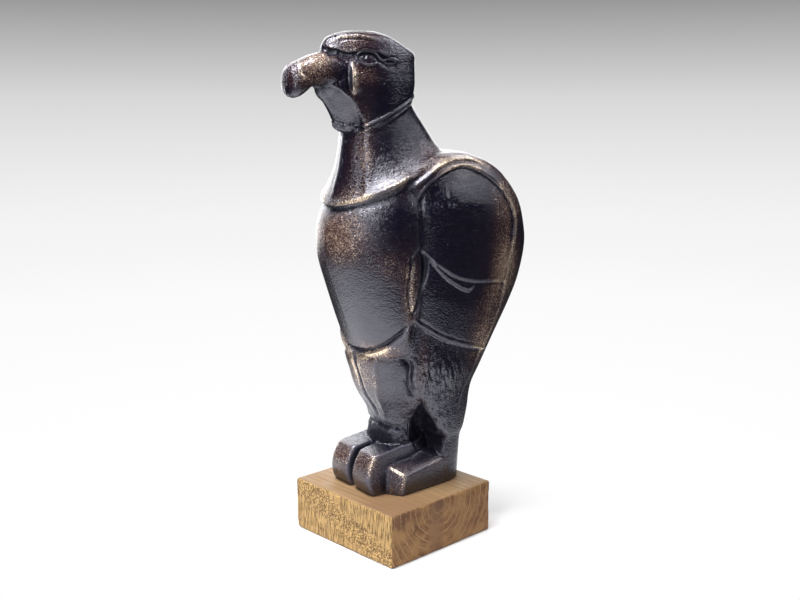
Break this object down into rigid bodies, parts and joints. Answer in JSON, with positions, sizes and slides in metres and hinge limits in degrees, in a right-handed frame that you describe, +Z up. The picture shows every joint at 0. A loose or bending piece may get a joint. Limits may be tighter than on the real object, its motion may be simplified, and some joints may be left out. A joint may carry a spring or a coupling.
{
  "type": "cast iron eagle sculpture",
  "caption": "Stylised perched eagle cast in iron with a worn dark patina, wings folded, standing on a square oak plinth; a shelf or table sculpture.",
  "frame": {"origin": "centre of the plinth's underside", "axes": "+Z up, the sculpture's height; the plinth's faces lie along X and Y, its long grain along X; the eagle faces -Y, turned 7.5 degrees towards -X, so its left side is +X"},
  "size_m": [0.1003, 0.1816, 0.3463],
  "materials": {
    "patinated_iron": "glossy blue-black patina over a fine sand-cast skin, rubbed to warm bronze brown on the edges",
    "oak": "rough-sawn oak block, end grain on two sides, bare and lightly waxed"
  },
  "bodies": {
    "root": {"eagle": "patinated_iron", "plinth": "oak"}
  },
  "joints": []
}
